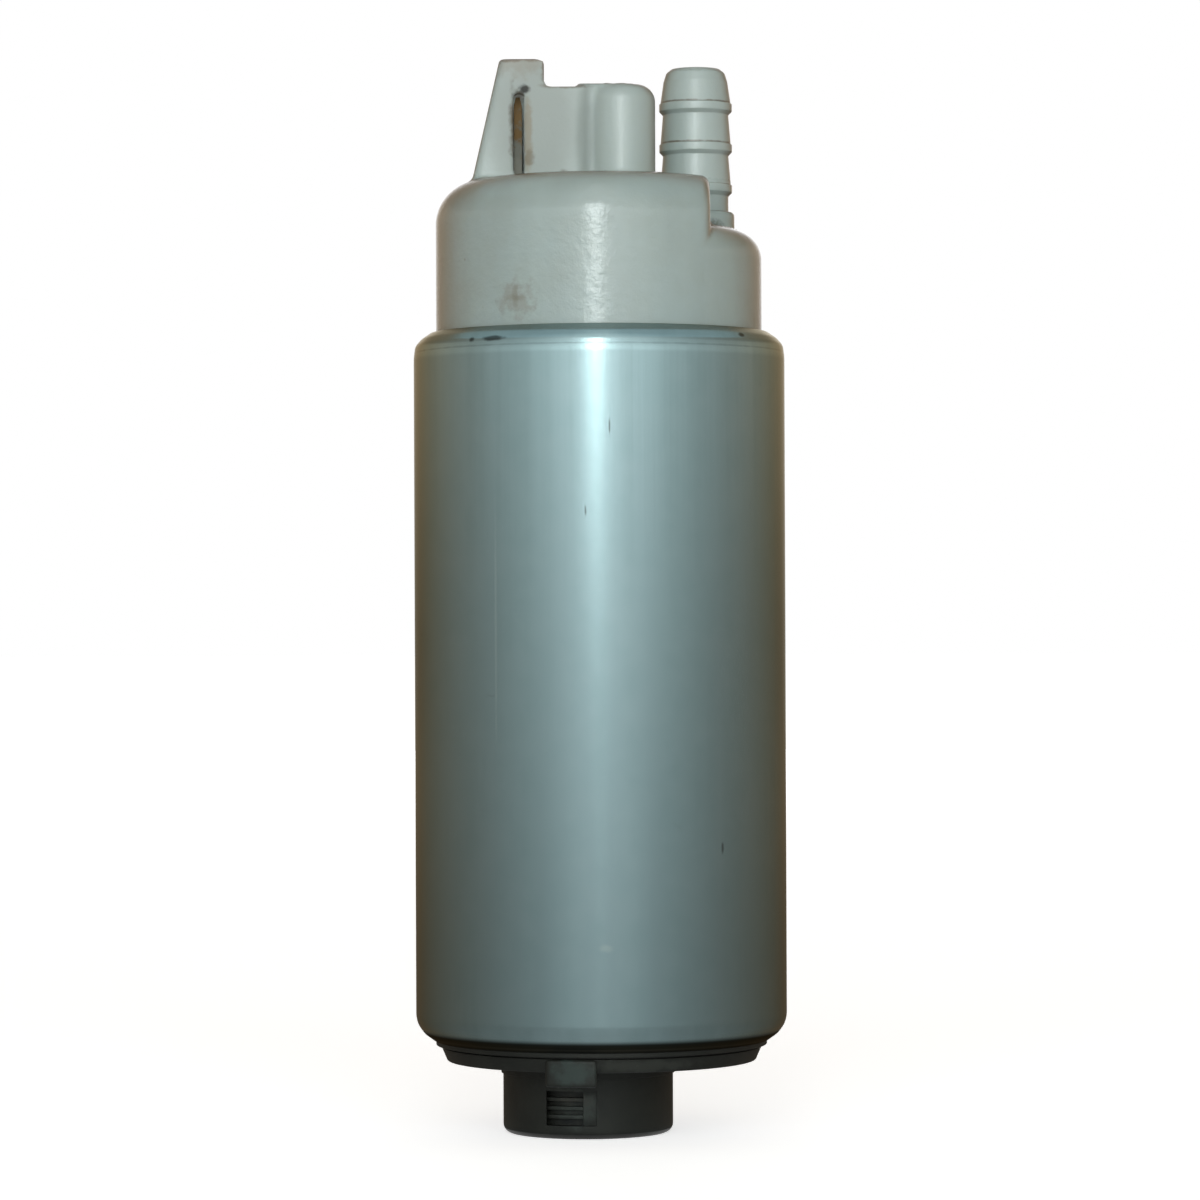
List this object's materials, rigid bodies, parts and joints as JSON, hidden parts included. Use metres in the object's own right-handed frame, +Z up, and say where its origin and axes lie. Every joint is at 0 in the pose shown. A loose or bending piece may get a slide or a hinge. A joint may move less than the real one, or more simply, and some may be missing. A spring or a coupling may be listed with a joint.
{
  "type": "in-tank fuel pump",
  "caption": "In-tank electric fuel pump: steel can, gerotor pump set and motor inside, white outlet cover with hose barb and connector, black inlet neck.",
  "frame": {"origin": "on the can's axis, level with the foot of the inlet neck", "axes": "+Z up along the can's axis, from the inlet to the outlet; -Y is the front, the side that the slot in the connector's wall faces; +X is towards the hose barb"},
  "size_m": [0.038, 0.038, 0.1094],
  "materials": {
    "can_steel": "satin plated steel",
    "white_plastic": "translucent off-white moulding",
    "black_plastic": "glass-filled black moulding",
    "seal_rubber": "smooth rubber",
    "port_plate_metal": "ground",
    "sintered_steel": "sintered and ground",
    "hardened_steel": "ground",
    "screw_steel": "zinc plated",
    "bearing_bronze": "porous bronze",
    "washer_plastic": "smooth",
    "sleeve_iron": "soft iron",
    "magnet_ferrite": "ground ferrite",
    "clip_steel": "spring steel",
    "insulator_plastic": "moulded",
    "winding_copper": "enamelled copper wire",
    "commutator_copper": "bare copper",
    "brush_carbon": "pressed carbon",
    "spring_steel": "bright wire",
    "terminal_brass": "tarnished",
    "valve_plastic": "smooth moulding"
  },
  "bodies": {
    "housing": {"pump_can": "can_steel", "inlet_cover": "black_plastic", "inlet_seal": "seal_rubber", "inlet_port_plate": "port_plate_metal", "thrust_button": "hardened_steel", "cam_ring": "port_plate_metal", "outlet_port_plate": "port_plate_metal", "pump_screws": "screw_steel", "locating_pins": "hardened_steel", "lower_bearing": "bearing_bronze", "upper_bearing": "bearing_bronze", "lower_thrust_washer": "washer_plastic", "flux_sleeve": "sleeve_iron", "front_magnet": "magnet_ferrite", "back_magnet": "magnet_ferrite", "right_magnet_clip": "clip_steel", "left_magnet_clip": "clip_steel", "outlet_cover": "white_plastic", "outlet_seal": "seal_rubber", "back_brush_spring": "spring_steel", "front_brush_spring": "spring_steel", "front_terminal": "terminal_brass", "back_terminal": "terminal_brass", "front_choke_core": "magnet_ferrite", "back_choke_core": "magnet_ferrite", "front_choke_coil": "winding_copper", "back_choke_coil": "winding_copper", "check_valve_seat": "terminal_brass", "check_valve_spring": "spring_steel", "relief_valve_spring": "spring_steel", "relief_valve_retainer": "terminal_brass"},
    "armature": {"shaft": "hardened_steel", "armature_core": "sleeve_iron", "lower_insulator": "insulator_plastic", "upper_insulator": "insulator_plastic", "armature_windings": "winding_copper", "commutator_body": "insulator_plastic", "commutator_segments": "commutator_copper", "upper_thrust_washer": "washer_plastic", "inner_rotor": "sintered_steel"},
    "outer_rotor_ring": {"outer_rotor": "sintered_steel"},
    "back_brush_carbon": {"back_brush": "brush_carbon", "back_brush_shunt": "commutator_copper"},
    "front_brush_carbon": {"front_brush": "brush_carbon", "front_brush_shunt": "commutator_copper"},
    "check_valve": {"check_valve_plunger": "valve_plastic"},
    "relief_valve": {"relief_valve_plunger": "valve_plastic"}
  },
  "joints": [
    {"name": "armature_spin", "type": "hinge", "parent": "housing", "child": "armature", "pos_m": [0, 0, 0.04], "axis": [0, 0, 1], "continuous": true},
    {"name": "outer_rotor_spin", "type": "hinge", "parent": "housing", "child": "outer_rotor_ring", "pos_m": [0.0009, 0, 0.0205], "axis": [0, 0, 1], "continuous": true},
    {"name": "back_brush_slide", "type": "slide", "parent": "housing", "child": "back_brush_carbon", "axis": [0, 0, 1], "range_m": [0, 0.003], "stiffness_N_per_m": 120, "springref_m": -0.006, "deforming": ["back_brush_spring"]},
    {"name": "front_brush_slide", "type": "slide", "parent": "housing", "child": "front_brush_carbon", "axis": [0, 0, 1], "range_m": [0, 0.003], "stiffness_N_per_m": 120, "springref_m": -0.006, "deforming": ["front_brush_spring"]},
    {"name": "check_valve_lift", "type": "slide", "parent": "housing", "child": "check_valve", "axis": [0, 0, 1], "range_m": [0, 0.0015], "stiffness_N_per_m": 80, "springref_m": -0.003, "deforming": ["check_valve_spring"]},
    {"name": "relief_valve_lift", "type": "slide", "parent": "housing", "child": "relief_valve", "axis": [0, 0, 1], "range_m": [0, 0.0015], "stiffness_N_per_m": 300, "springref_m": -0.005, "deforming": ["relief_valve_spring"]}
  ],
  "couplings": [
    {"joint": "outer_rotor_spin", "follows": "armature_spin", "ratio": 0.85714}
  ]
}
